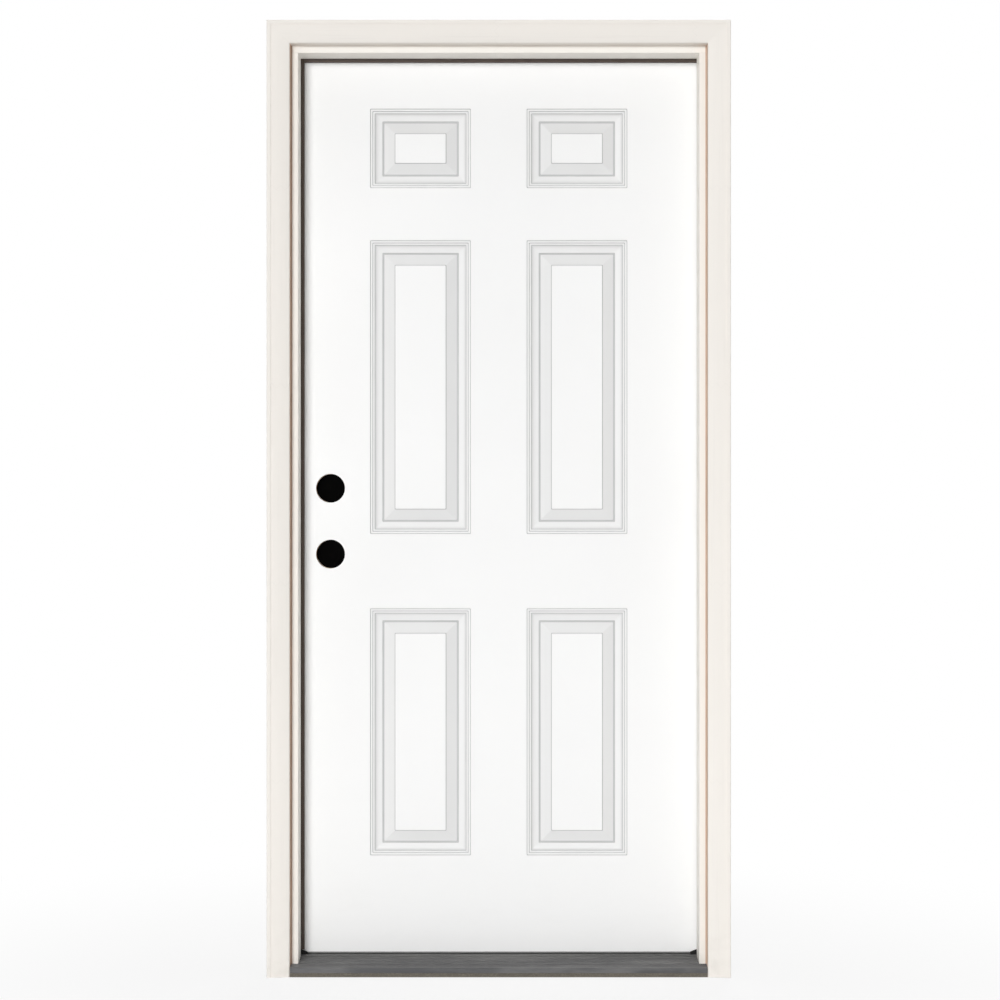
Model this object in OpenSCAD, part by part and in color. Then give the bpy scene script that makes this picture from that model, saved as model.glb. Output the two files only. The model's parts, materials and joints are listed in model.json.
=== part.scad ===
// Six-panel steel entry door hung in its timber frame, with casing, weatherstrips, sill and hinges.
// X runs to the right as seen from outside, Y runs into the house and Z runs up. The origin is at the
// foot of the frame, midway between the jambs, in the plane where the casing meets the wall.

/* [Door slab] */
// Width of the slab
door_w = 908; // [760:1:1060]
// Height of the slab
door_h = 2016; // [1950:1:2400]
// Thickness of the slab
door_t = 44.4; // [40:0.1:57]
// Thickness of the steel skins
skin_t = 0.7; // [0.5:0.1:1]
// Width of the skins' return along the slab's upright edges
skin_return = 6; // [4:0.5:6]
// Outside radius of the skins' folded edge
fold_r = 1.6; // [1.2:0.1:2.5]
// Width of the timber stiles inside the slab
edge_stile_w = 32; // [26:1:40]
// Height of the timber top rail inside the slab
top_rail_h = 40; // [25:1:80]
// Height of the composite bottom rail inside the slab
bottom_rail_h = 60; // [30:1:90]
// Glue line between the pieces of the slab
glue_line = 0.1; // [0.05:0.05:0.2]

/* [Panels] */
// Face width from the slab's edge to the nearest panel
panel_side = 163.5; // [130:0.5:190]
// Face width between the two columns of panels
panel_mullion = 123; // [90:1:160]
// Face height from the slab's foot to the bottom panels
bottom_face = 215; // [150:1:260]
// Face height between the bottom and middle panels
lock_face = 165; // [100:1:220]
// Height of the middle panels
middle_panel_h = 663; // [500:1:720]
// Face height between the middle and top panels
frieze_face = 115; // [80:1:160]
// Height of the top panels
top_panel_h = 181; // [150:1:240]
// Face height from the top panels to the slab's top
top_face = 119; // [80:1:160]

/* [Panel moulding] */
// Width of the moulding outside the groove
moulding_w = 28.5; // [24:0.5:34]
// Width of each of the moulding's two fillets
fillet_w = 5; // [3.5:0.1:6]
// Drop of each fillet below the one before
fillet_drop = 1.8; // [1:0.1:2.2]
// Width across each pressed step
step_w = 1.4; // [1:0.1:1.8]
// Depth of the groove below the face
groove_d = 10; // [7:0.1:11]
// Width of the groove's floor
groove_w = 2.5; // [1.5:0.1:4]
// Drop from the moulding's cove into the groove
quirk_d = 1.5; // [0.8:0.1:2]
// Width of the bevel round the raised field
bevel_w = 24; // [16:0.5:28]
// Rise of the step from the bevel to the field
field_step = 1.8; // [0.8:0.1:2.4]
// Depth of the raised field below the face
field_d = 0.8; // [0.2:0.1:2]

/* [Lock preparation] */
// Diameter of the lock bores
bore_d = 65; // [50:0.5:68]
// Distance from the slab's edge to the bores' centres
backset = 75.6; // [68:0.1:80]
// Height of the lower bore above the slab's foot
lock_h = 894; // [850:1:960]
// Distance between the two bores
bore_pitch = 148; // [130:0.1:160]
// Diameter of the latch bores in the slab's edge
latch_d = 25.4; // [22:0.1:26]
// Width of the latch plates' recess
latch_plate_w = 25.4; // [22:0.1:28]
// Height of the latch plates' and strikes' recesses
latch_plate_h = 57; // [50:1:64]
// Depth of the latch plates' recess
latch_plate_d = 3; // [1.5:0.1:4]
// Diameter of the strike holes in the lock jamb
strike_d = 24; // [20:0.5:25]
// Depth of the strike holes below the rabbet
strike_deep = 15; // [10:0.5:17]
// Depth of the strikes' recess
strike_recess = 1.6; // [1:0.1:3]
// Timber of the lock block left round the bores
lock_block_wall = 11; // [8:0.5:20]
// Height of the lock block above and below the bores' centres
lock_block_end = 80; // [50:1:120]

/* [Frame] */
// Depth of the stop from the wall plane to its shoulder
stop_w = 65.1; // [50:0.1:90]
// Height of the stop above the rabbet
stop_h = 12.7; // [10:0.1:16]
// Thickness of the jambs behind the rabbet
jamb_t = 19; // [17:0.1:26]
// Space between the stop's shoulder and the slab's face
seal_space = 6.4; // [5:0.1:10]
// Gap between the slab and the jambs
door_gap = 3.2; // [2.6:0.1:4]
// Width of the saw kerf that holds each weatherstrip
kerf_w = 2.8; // [2:0.1:3.2]
// Depth of the saw kerf
kerf_d = 9; // [6:0.5:12]
// Radius of the jambs' eased edges
jamb_edge_r = 1.5; // [0.8:0.1:2.5]

/* [Casing] */
// Width of the casing
casing_w = 50.8; // [45:0.1:64]
// Thickness of the casing
casing_t = 31.8; // [26:0.1:36]
// Part of the jamb's edge that the casing leaves bare
casing_reveal = 16.5; // [10:0.1:20]
// Width of the flat band along the casing's outer edge
band_w = 9; // [6:0.5:14]
// Radius of the band's outer corner
band_r = 2; // [1:0.1:3]
// Drop from the band to the crown of the casing's field
band_drop = 1.8; // [0.8:0.1:3]
// Distance of the field's crown from the casing's inner edge
crown_x = 36; // [30:0.5:40]
// Radius of the casing's crowned field
crown_r = 160; // [120:5:300]
// Radius of the casing's inner edge
casing_edge_r = 4; // [2:0.1:6]

/* [Weatherstrips] */
// Part of the lock and head strips that shows past the stop
strip_show = 8; // [4:0.5:10]
// Part of the hinge strip's seat left bare behind the stop's edge
strip_back = 3; // [1:0.5:4]
// Wall of the strips
strip_wall = 1.3; // [1:0.1:1.6]
// Radius of the strips' edges
strip_r = 1.5; // [1:0.1:2]
// Clearance of a strip to the slab and the rabbet
strip_play = 0.3; // [0.2:0.1:0.5]
// Clearance on each side of a strip's fin in its kerf
fin_play = 0.2; // [0.1:0.1:0.4]
// Clearance between a fin's end and the bottom of its kerf
fin_short = 1; // [0.5:0.1:2]
// Height of the corner pads
pad_h = 11; // [8:0.5:16]
// Part of the corner pads that shows past the stop
pad_show = 14; // [8:0.5:20]

/* [Sill] */
// Reach of the sill's nose in front of the wall plane
nose_out = 27; // [15:0.5:30]
// Height of the nose
nose_h = 22; // [18:0.5:26]
// Rise of the deck from the nose to the dam
deck_rise = 7.5; // [4:0.5:9]
// Thickness of the deck's metal
deck_t = 2; // [1.4:0.1:2.4]
// Height of the deck's front lip above the foot of the frame
lip_z = 9.5; // [6:0.5:13]
// Radius of the ribs on the deck
rib_r = 1.2; // [0.8:0.1:1.6]
// Distance between the ribs
rib_pitch = 12; // [9:0.5:16]
// Width of the dam behind the deck
dam_w = 3; // [2:0.1:4]
// Drop of the dam's top below the cap's top
dam_drop = 0.5; // [0.3:0.1:1]
// Height of the channel's floor above the foot of the frame
channel_z = 12; // [8:0.5:14]
// Clearance at the ends of the sill
sill_fit = 0.2; // [0.1:0.1:0.5]

/* [Threshold cap] */
// Width of the cap
cap_w = 49; // [46:0.5:52]
// Height of the cap's top above the foot of the frame
cap_z = 32.5; // [32:0.5:40]
// Height of the cap
cap_h = 14.5; // [14:0.5:15]
// Thickness of the cap's top
cap_top_t = 7; // [6:0.1:8]
// Thickness of the cap's walls
cap_wall = 3; // [2:0.1:4]
// Radius of the cap's upper edges
cap_r = 2.5; // [1:0.1:3]
// Clearance between the cap and its channel
cap_play = 0.6; // [0.4:0.1:1]
// Radius of the adjusting screws' heads
adjuster_head_r = 5; // [4:0.1:6]
// Thickness of the adjusting screws' heads
adjuster_head_t = 2.8; // [2:0.1:3]
// Depth of the adjusting screws' heads below the cap's top
adjuster_sink = 0.7; // [0.5:0.1:1]
// Thickness of the collars under the cap that hold the adjusting screws
collar_t = 2; // [1.5:0.1:2]
// Setback of the collars from the edge of the heads
collar_step = 0.8; // [0.5:0.1:1]
// Radius of the adjusting screws' shanks
adjuster_r = 2.5; // [2:0.1:3]
// Clearance round the adjusting screws
adjuster_play = 0.3; // [0.3:0.05:0.5]
// Length of the adjusting screws' shanks below the cap's top
adjuster_len = 26; // [25.5:0.5:26]
// Height of the adjusting screws' holes above the foot of the frame
adjuster_floor = 1; // [0.5:0.1:2]

/* [Door sweep] */
// Height of the sweep below the slab
sweep_h = 5.5; // [4.5:0.1:10]
// Thickness of the sweep's strip
sweep_strip = 1.5; // [1:0.1:2]
// Thickness of the sweep's fins
sweep_fin = 1.6; // [1:0.1:2.2]
// Distance between the sweep's fins
sweep_pitch = 13; // [10:0.5:14]
// Clearance of the sweep to the cap
sweep_play = 0.3; // [0.3:0.1:0.6]
// Setback of the sweep from the slab's faces and edges
sweep_inset = 3; // [1:0.5:5]

/* [Hinges] */
// Height of the hinges
hinge_h = 101.6; // [88:0.1:115]
// Thickness of the leaves
leaf_t = 2.5; // [2:0.1:3.2]
// Reach of a leaf from the pin's axis
leaf_reach = 50.8; // [46:0.1:52]
// Radius of the leaves' corners
leaf_r = 15.9; // [6:0.1:18]
// Distance of the pin's axis from the slab's inner face
pin_out = 12.7; // [11:0.1:16]
// Radius of the pin
pin_r = 3.5; // [3:0.1:4]
// Clearance round the pin
pin_play = 0.05; // [0.03:0.01:0.1]
// Radius of the knuckles
knuckle_r = 6.5; // [5.5:0.1:7.5]
// Number of knuckles on a hinge
knuckles = 5; // [3:2:7]
// Gap between neighbouring knuckles
knuckle_gap = 0.4; // [0.3:0.1:0.8]
// Clearance between a leaf's plate and the other leaf's knuckles
plate_play = 0.6; // [0.4:0.1:1]
// Radius of the pin's button head
pin_head_r = 5.4; // [4.5:0.1:6.5]
// Height of the pin's button head
pin_head_h = 3; // [2:0.1:4]
// Radius of the button head's edges
pin_edge_r = 1; // [0.5:0.1:1]
// Distance from the slab's top to the top hinge
hinge_top = 178; // [120:1:220]
// Distance from the slab's foot to the bottom hinge
hinge_bottom = 279; // [150:1:320]
// Clearance of the leaves in their mortises
mortise_play = 0.1; // [0.1:0.05:0.3]

/* [Fasteners] */
// Radius of the countersunk heads
head_r = 4.4; // [4:0.1:5]
// Radius of the screws' shanks
screw_r = 2.2; // [1.8:0.1:2.6]
// Height of the countersunk heads
head_t = 2.4; // [2:0.1:2.5]
// Length of the screws' points
point_len = 3; // [2:0.5:5]
// Length of the screws in the jamb leaves
jamb_screw_len = 17; // [14:0.5:18]
// Length of the screws in the door leaves
door_screw_len = 25; // [20:0.5:26]
// Length of the screws that join the frame
frame_screw_len = 60; // [50:1:80]
// Clearance round the screws
screw_play = 0.1; // [0.05:0.05:0.2]
// Number of screws in each leaf
leaf_screws = 4; // [3:1:5]
// Distance of the end screws from the leaves' ends
leaf_screw_end = 14.2; // [11:0.1:18]
// Distance of the outer row of screws from the leaves' far edges
leaf_screw_out = 11; // [9:0.5:13]
// Distance between the two rows of screws in a leaf
leaf_screw_step = 14; // [10:0.5:16]
// Distance of the outer pair of frame screws from the wall plane
frame_screw_out = 30; // [15:1:45]
// Distance of the inner pair of frame screws from the wall plane
frame_screw_in = 90; // [75:1:100]
// Height of the sill screws above the foot of the frame
sill_screw_z = 5; // [4:0.5:6]

/* [Hidden] */
$fn = 48;

// Length by which a cutting shape passes the face it cuts
over = 1;

// Planes of the frame
rabbet_x = door_w / 2 + door_gap;
stop_x = rabbet_x - stop_h;
jamb_x = rabbet_x + jamb_t;
face_y = stop_w + seal_space;
back_y = face_y + door_t;
door_z = cap_z + sweep_h;
door_top = door_z + door_h;
head_rabbet_z = door_top + door_gap;
head_stop_z = head_rabbet_z - stop_h;
frame_h = head_rabbet_z + jamb_t;
kerf_x = stop_x + stop_h / 2;

// Edges of the casing
casing_in_x = stop_x + casing_reveal;
casing_out_x = casing_in_x + casing_w;
casing_in_z = head_stop_z + casing_reveal;
casing_out_z = casing_in_z + casing_w;

// Inside of the slab, measured from the slab's own face and foot
inner_y = skin_t + glue_line;
inner_t = door_t - 2 * inner_y;
core_x = door_w / 2 - edge_stile_w - glue_line;
lock_x = backset - door_w / 2;
bore_z = [lock_h, lock_h + bore_pitch];
lock_block_x = lock_x + bore_d / 2 + lock_block_wall;

// Panels, measured from the slab's own foot
panel_w = (door_w - panel_mullion) / 2 - panel_side;
panel_x = (panel_mullion + panel_w) / 2;
middle_z = door_h - top_face - top_panel_h - frieze_face - middle_panel_h;
bottom_panel_h = middle_z - lock_face - bottom_face;
panel_h = [bottom_panel_h, middle_panel_h, top_panel_h];
panel_z = [bottom_face, middle_z, door_h - top_face - top_panel_h];

// Section of the pressed moulding, as inset and depth from the panel's outer edge
cove_steps = 5;
cove_in = step_w + 2 * fillet_w;
cove_d = 2 * fillet_drop;
bevel_in = moulding_w + step_w + groove_w;
field_in = bevel_in + bevel_w + step_w;
face_line = concat(
    [[0, 0], [step_w, 0]],
    [for (i = [1, 2]) each [
        [step_w + (i - 1) * fillet_w + step_w, i * fillet_drop],
        [step_w + i * fillet_w, i * fillet_drop]
    ]],
    [for (i = [1:cove_steps]) let (a = 90 * i / cove_steps) [
        cove_in + (moulding_w - cove_in) * (1 - cos(a)),
        cove_d + (groove_d - quirk_d - cove_d) * sin(a)
    ]],
    [[moulding_w + step_w, groove_d], [bevel_in, groove_d]],
    [[bevel_in + bevel_w, field_d + field_step], [field_in, field_d], [field_in + step_w, field_d]]
);

// Sill
channel_back = back_y - deck_t;
channel_front = channel_back - cap_w - 2 * cap_play;
dam_y = channel_front - dam_w;
dam_z = cap_z - dam_drop;
lip_y = deck_t - nose_out;
cap_y = (channel_front + channel_back) / 2;
adjuster_x = [-3, -1, 1, 3] * door_w / 8;
adjuster_z = cap_z - adjuster_sink;
collar_r = adjuster_head_r - collar_step;
frame_screw_y = [frame_screw_out, frame_screw_in];

// Hinges
pin_x = door_w / 2 + door_gap / 2;
pin_y = back_y + pin_out;
leaf_x = door_gap / 2;
leaf_end = knuckle_r + plate_play;
knuckle_h = hinge_h / knuckles;
low_z = door_z + hinge_bottom;
high_z = door_top - hinge_top - hinge_h;
hinge_z = [low_z, (low_z + high_z) / 2, high_z];
leaf_screw_pitch = (hinge_h - 2 * leaf_screw_end) / (leaf_screws - 1);
leaf_screw_y = [leaf_screw_out, leaf_screw_out + leaf_screw_step];

// Height of the deck's surface at a distance y from the wall plane
function deck_z(y) = nose_h + deck_rise * (y + nose_out) / (dam_y + nose_out);

// Thickness of the casing's field at a distance x from its inner edge
function field_t(x) = casing_t - band_drop + sqrt(pow(crown_r, 2) - pow(x - crown_x, 2)) - crown_r;

// Normal of the line's piece after point i, towards the inside of the slab
function line_normal(line, i) =
    let (d = line[i + 1] - line[i])
    [-d[1], d[0]] / norm(d);

// The line moved towards the inside of the slab by t
function inner_line(line, t) = [
    for (i = [0:len(line) - 1])
        let (a = line_normal(line, max(i - 1, 0)), b = line_normal(line, min(i, len(line) - 2)))
        line[i] + t * (a + b) / (1 + a * b)
];

// The four corners of a panel's outline at one inset and depth
function ring(w, h, p) =
    let (a = w / 2 - p[0], b = h / 2 - p[0])
    [[-a, p[1], -b], [a, p[1], -b], [a, p[1], b], [-a, p[1], b]];

// Solid through nested rectangular rings, closed at the first and the last one
module ring_solid(w, h, line) {
    last = len(line) - 1;
    walls = [
        for (i = [0:last - 1], k = [0:3])
            let (n = (k + 1) % 4)
            [4 * i + k, 4 * i + n, 4 * i + 4 + n, 4 * i + 4 + k]
    ];
    points = [for (p = line) each ring(w, h, p)];
    polyhedron(points, concat([[0, 3, 2, 1]], walls, [[for (k = [0:3]) 4 * last + k]]));
}

// An outline in Y and Z run along X from x0
module along_x(x0, length) {
    translate([x0, 0, 0])
        rotate([90, 0, 90])
            linear_extrude(length) children();
}

// An outline in X and Z run along Y from y0
module along_y(y0, length) {
    translate([0, y0 + length, 0])
        rotate([90, 0, 0])
            linear_extrude(length) children();
}

// An outline in X and Y turned into one in Y and Z
module swapped() {
    mirror([1, -1, 0]) children();
}

// A rectangle with round corners between two opposite corners
module rounded_rect(a, b, r) {
    size = b - a;
    translate(a + [r, 0]) square(size - [2 * r, 0]);
    translate(a + [0, r]) square(size - [0, 2 * r]);
    for (x = [a[0] + r, b[0] - r], y = [a[1] + r, b[1] - r])
        translate([x, y]) circle(r);
}

// What rounding takes off the corner at p, where the solid lies towards d
module corner_cut(p, d, r) {
    translate(p)
        mirror([min(d[0], 0), 0])
            mirror([0, min(d[1], 0)])
                difference() {
                    translate([-over, -over]) square(r + over);
                    translate([r, r]) circle(r);
                }
}

// Countersunk screw along +X with its head's face at the origin
module screw(length) {
    rotate([0, 90, 0])
        rotate_extrude()
            polygon([[0, 0], [head_r, 0], [screw_r, head_t], [screw_r, length - point_len], [0, length]]);
}

// Hole for a countersunk screw along +X
module screw_hole(length) {
    r = screw_r + screw_play;
    h = head_r + screw_play;
    end = length + screw_play;
    rotate([0, 90, 0])
        rotate_extrude()
            polygon([[0, -over], [h, -over], [h, 0], [r, head_t], [r, end], [0, end]]);
}

// Places of the screws on one leaf, seen from its pin
module at_leaf_screws() {
    for (i = [0:leaf_screws - 1])
        translate([leaf_x, leaf_screw_y[i % 2] - leaf_reach, leaf_screw_end + i * leaf_screw_pitch])
            children();
}

// Places of all three hinges, on the pin's axis at each hinge's foot
module at_hinges() {
    for (z = hinge_z)
        translate([pin_x, pin_y, z]) children();
}

// Outline of a leaf's plate in Y and Z, seen from its pin
module leaf_plate(play = 0) {
    far = -leaf_reach - play;
    r = leaf_r + play;
    difference() {
        translate([far, -play]) square([-leaf_end - far, hinge_h + 2 * play]);
        corner_cut([far, -play], [1, 1], r);
        corner_cut([far, hinge_h + play], [1, -1], r);
    }
}

// One leaf with the knuckles from first on, seen from its pin
module leaf(first) {
    difference() {
        union() {
            along_x(leaf_x, leaf_t) leaf_plate();
            for (k = [first:2:knuckles - 1])
                translate([0, 0, k * knuckle_h + knuckle_gap / 2]) {
                    cylinder(h = knuckle_h - knuckle_gap, r = knuckle_r);
                    translate([leaf_x, -leaf_end, 0]) cube([leaf_t, leaf_end, knuckle_h - knuckle_gap]);
                }
        }
        translate([0, 0, -over]) cylinder(h = hinge_h + 2 * over, r = pin_r + pin_play);
        at_leaf_screws() screw_hole(door_screw_len);
    }
}

// Mortises for the leaves on the frame's side, with their screw holes
module hinge_cuts(screw_len) {
    at_hinges() {
        along_x(leaf_x - over, leaf_t + over) leaf_plate(mortise_play);
        at_leaf_screws() screw_hole(screw_len);
    }
}

// The frame's side of the hinges turned to the slab's side
module slab_side() {
    translate([2 * pin_x, 0, 0]) mirror([1, 0, 0]) children();
}

module jamb_leaf(i) {
    color("darkgoldenrod") translate([pin_x, pin_y, hinge_z[i]]) leaf(0);
}

module door_leaf(i) {
    color("goldenrod") slab_side() translate([pin_x, pin_y, hinge_z[i]]) leaf(1);
}

module hinge_pin(i) {
    color("gold")
        translate([pin_x, pin_y, hinge_z[i]])
            rotate_extrude() {
                square([pin_r, hinge_h]);
                translate([0, hinge_h])
                    intersection() {
                        rounded_rect([-pin_head_r, 0], [pin_head_r, pin_head_h], pin_edge_r);
                        square([pin_head_r, pin_head_h]);
                    }
            }
}

module jamb_leaf_screws() {
    color("tan") at_hinges() at_leaf_screws() screw(jamb_screw_len);
}

module door_leaf_screws() {
    color("tan") slab_side() at_hinges() at_leaf_screws() screw(door_screw_len);
}

// Section of an upright jamb on the hinge side, with the kerf for its weatherstrip
module jamb_section() {
    difference() {
        translate([stop_x, 0]) square([jamb_x - stop_x, back_y]);
        translate([stop_x - over, stop_w]) square([stop_h + over, door_t + seal_space + over]);
        translate([kerf_x - kerf_w / 2, stop_w - kerf_d]) square([kerf_w, kerf_d + over]);
        corner_cut([stop_x, 0], [1, 1], jamb_edge_r);
        corner_cut([stop_x, stop_w], [1, -1], jamb_edge_r);
        corner_cut([rabbet_x, back_y], [1, -1], jamb_edge_r);
    }
}

// Upright jamb on the hinge side, cut away above for the head jamb and drilled for the frame's screws
module upright_jamb() {
    difference() {
        linear_extrude(frame_h) jamb_section();
        translate([stop_x - over, -over, head_stop_z])
            cube([stop_h + over, stop_w + 2 * over, frame_h - head_stop_z + over]);
        at_frame_screws() screw_hole(frame_screw_len);
    }
}

// Places of the hinge side's screws through the jamb into the sill and the head jamb
module at_sill_screws() {
    for (y = frame_screw_y)
        translate([jamb_x, y, sill_screw_z]) mirror([1, 0, 0]) children();
}

module at_head_screws() {
    for (y = frame_screw_y)
        translate([jamb_x, y, head_rabbet_z + jamb_t / 2]) mirror([1, 0, 0]) children();
}

module at_frame_screws() {
    at_sill_screws() children();
    at_head_screws() children();
}

// The hinge side's shape and its mirror image on the lock side
module both_sides() {
    children();
    mirror([1, 0, 0]) children();
}

module hinge_jamb() {
    color("linen")
        difference() {
            upright_jamb();
            hinge_cuts(jamb_screw_len);
        }
}

module lock_jamb() {
    color("linen")
        difference() {
            mirror([1, 0, 0]) upright_jamb();
            for (z = bore_z)
                translate([-rabbet_x, face_y + door_t / 2, door_z + z]) {
                    rotate([0, -90, 0]) cylinder(h = strike_deep, d = strike_d);
                    translate([-strike_recess, -latch_plate_w / 2, -latch_plate_h / 2])
                        cube([strike_recess + over, latch_plate_w, latch_plate_h]);
                }
        }
}

module head_jamb() {
    color("linen")
        difference() {
            along_x(-rabbet_x, 2 * rabbet_x)
                difference() {
                    translate([0, head_stop_z]) square([back_y, frame_h - head_stop_z]);
                    translate([stop_w, head_stop_z - over]) square([back_y, stop_h + over]);
                    translate([stop_w - kerf_d, head_stop_z + stop_h / 2 - kerf_w / 2])
                        square([kerf_d + over, kerf_w]);
                    corner_cut([0, head_stop_z], [1, 1], jamb_edge_r);
                    corner_cut([stop_w, head_stop_z], [-1, 1], jamb_edge_r);
                    corner_cut([back_y, head_rabbet_z], [-1, 1], jamb_edge_r);
                }
            both_sides() at_head_screws() screw_hole(frame_screw_len);
        }
}

module sill_screws() {
    color("silver") both_sides() at_sill_screws() screw(frame_screw_len);
}

module head_screws() {
    color("silver") both_sides() at_head_screws() screw(frame_screw_len);
}

// Section of the casing: X from its inner edge, Y from the wall
module casing_section() {
    edge = field_t(casing_edge_r);
    difference() {
        translate([casing_w - band_w, -casing_t]) square([band_w, casing_t]);
        corner_cut([casing_w, -casing_t], [-1, 1], band_r);
    }
    difference() {
        intersection() {
            translate([0, -casing_t]) square([casing_w - band_w, casing_t]);
            translate([crown_x, crown_r - casing_t + band_drop]) circle(crown_r, $fn = 360);
        }
        corner_cut([0, -edge], [1, 1], casing_edge_r);
    }
}

// Upright casing on the hinge side, mitred at its top
module upright_casing() {
    intersection() {
        translate([casing_in_x, 0, 0]) linear_extrude(casing_out_z) casing_section();
        along_y(-casing_t - over, casing_t + 2 * over)
            polygon([
                [casing_in_x, 0], [casing_out_x, 0],
                [casing_out_x, casing_out_z], [casing_in_x, casing_in_z]
            ]);
    }
}

module hinge_casing() {
    color("antiquewhite") upright_casing();
}

module lock_casing() {
    color("antiquewhite") mirror([1, 0, 0]) upright_casing();
}

module head_casing() {
    color("antiquewhite")
        intersection() {
            translate([0, 0, casing_in_z])
                along_x(-casing_out_x, 2 * casing_out_x) swapped() casing_section();
            along_y(-casing_t - over, casing_t + 2 * over)
                polygon([
                    [-casing_in_x, casing_in_z], [casing_in_x, casing_in_z],
                    [casing_out_x, casing_out_z], [-casing_out_x, casing_out_z]
                ]);
        }
}

// Section of a weatherstrip: X from the stop's edge towards the rabbet, Y from the stop's shoulder
module strip_section(show) {
    near = [-show, 0];
    far = [stop_h - strip_play, seal_space - strip_play];
    inset = [strip_wall, strip_wall];
    difference() {
        rounded_rect(near, far, strip_r);
        rounded_rect(near + inset, far - inset, strip_r / 2);
    }
    translate([(stop_h - kerf_w) / 2 + fin_play, fin_short - kerf_d])
        square([kerf_w - 2 * fin_play, kerf_d - fin_short + strip_wall / 2]);
}

// Upright weatherstrip on the hinge side, from the corner pad to the head rabbet
module upright_strip(show) {
    foot = cap_z + sweep_play + pad_h;
    translate([stop_x, stop_w, foot])
        linear_extrude(head_stop_z - strip_play - foot) strip_section(show);
    translate([stop_x, stop_w, foot])
        linear_extrude(head_rabbet_z - strip_play - foot)
            difference() {
                strip_section(show);
                translate([-stop_h, -kerf_d]) square([2 * stop_h, kerf_d]);
            }
}

module lock_weatherstrip() {
    color("saddlebrown") mirror([1, 0, 0]) upright_strip(strip_show);
}

module hinge_weatherstrip() {
    color("saddlebrown") upright_strip(-strip_back);
}

module head_weatherstrip() {
    left = strip_show + strip_play - stop_x;
    right = stop_x + strip_back - strip_play;
    color("saddlebrown")
        translate([0, stop_w, head_stop_z])
            along_x(left, right - left) swapped() strip_section(strip_show);
}

// Corner pad on the hinge side, in the rabbet at the foot of the weatherstrip
module corner_pad() {
    foot = cap_z + sweep_play;
    near = stop_x - pad_show;
    far = rabbet_x - sill_fit;
    along_y(stop_w, seal_space - strip_play)
        polygon([
            [near, foot], [far, foot], [far, foot + pad_h - sill_fit],
            [stop_x, foot + pad_h - sill_fit], [near, foot + pad_h / 2]
        ]);
}

module hinge_corner_pad() {
    color("dimgray") corner_pad();
}

module lock_corner_pad() {
    color("dimgray") mirror([1, 0, 0]) corner_pad();
}

// Space that the hinge jamb takes out of the sill's end
module jamb_space() {
    translate([stop_x - sill_fit, -sill_fit, -over]) cube([casing_out_x, stop_w + 2 * sill_fit, frame_h]);
    translate([rabbet_x - sill_fit, stop_w, -over]) cube([casing_out_x, back_y, frame_h]);
}

// A section of the sill run between the casings and notched round both jambs
module sill_length() {
    reach = casing_in_x - sill_fit;
    difference() {
        along_x(-reach, 2 * reach) children();
        both_sides() jamb_space();
    }
}

module sill_base() {
    color("darkolivegreen")
        difference() {
            sill_length()
                polygon([
                    [lip_y, 0], [back_y, 0], [back_y, channel_z - deck_t], [dam_y, channel_z - deck_t],
                    [dam_y, deck_z(dam_y) - deck_t], [lip_y, deck_z(lip_y) - deck_t]
                ]);
            for (x = adjuster_x)
                translate([x, cap_y, adjuster_floor]) cylinder(h = cap_z, r = adjuster_r + adjuster_play);
            both_sides() at_sill_screws() screw_hole(frame_screw_len);
        }
}

// Section of the deck: nose lip, sloping ribbed plate, dam, and the channel for the threshold cap
module deck_section() {
    slope_end = [dam_y, deck_z(dam_y)];
    slope_start = [lip_y, deck_z(lip_y)];
    drop = [0, deck_t];
    polygon([slope_start, slope_end, slope_end - drop, slope_start - drop]);
    translate([-nose_out, lip_z]) square([deck_t, slope_start[1] - deck_t - lip_z]);
    intersection() {
        translate(slope_start - drop) circle(deck_t);
        translate(slope_start - [deck_t, deck_t]) square(deck_t);
    }
    translate([dam_y, channel_z - deck_t]) square([dam_w, dam_z - channel_z + deck_t]);
    translate([dam_y, channel_z - deck_t]) square([back_y - dam_y, deck_t]);
    translate([channel_back, channel_z - deck_t]) square([deck_t, dam_z - channel_z - deck_t / 2]);
    for (y = [lip_y + rib_pitch : rib_pitch : dam_y - rib_pitch / 2])
        translate([y, deck_z(y) - rib_r / 4]) circle(rib_r);
}

module sill_deck() {
    color("gray")
        difference() {
            sill_length() deck_section();
            for (x = adjuster_x)
                translate([x, cap_y, 0]) cylinder(h = channel_z + over, r = adjuster_r + adjuster_play);
        }
}

// Threshold cap, notched round the stops at its ends
module threshold_cap() {
    half = rabbet_x - cap_play;
    seat = adjuster_z - adjuster_head_t - adjuster_play;
    color("slategray")
        difference() {
            along_x(-half, 2 * half)
                translate([cap_y, cap_z - cap_h])
                    difference() {
                        union() {
                            rounded_rect([-cap_w / 2, 0], [cap_w / 2, cap_h], cap_r);
                            translate([-cap_w / 2, 0]) square([cap_w, cap_h / 2]);
                        }
                        translate([cap_wall - cap_w / 2, -over])
                            square([cap_w - 2 * cap_wall, cap_h - cap_top_t + over]);
                    }
            both_sides()
                translate([stop_x - cap_play, 0, 0]) cube([stop_h + over, stop_w + cap_play, cap_z + over]);
            for (x = adjuster_x)
                translate([x, cap_y, 0]) {
                    cylinder(h = cap_z, r = adjuster_r + adjuster_play);
                    translate([0, 0, seat]) cylinder(h = cap_z, r = adjuster_head_r + adjuster_play);
                }
        }
}

// Adjusting screw, held in the cap between its head and a collar
module adjuster(i) {
    tip = cap_z - adjuster_len;
    collar_z = cap_z - cap_top_t - adjuster_play - collar_t;
    color("lightgray")
        translate([adjuster_x[i], cap_y, 0])
            rotate_extrude() {
                translate([0, tip]) square([adjuster_r, adjuster_z - tip]);
                translate([0, collar_z]) square([collar_r, collar_t]);
                translate([0, adjuster_z - adjuster_head_t]) square([adjuster_head_r, adjuster_head_t]);
            }
}

// Puts a piece drawn from the slab's own face and foot in its place
module hung() {
    translate([0, face_y, door_z]) children();
}

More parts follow.
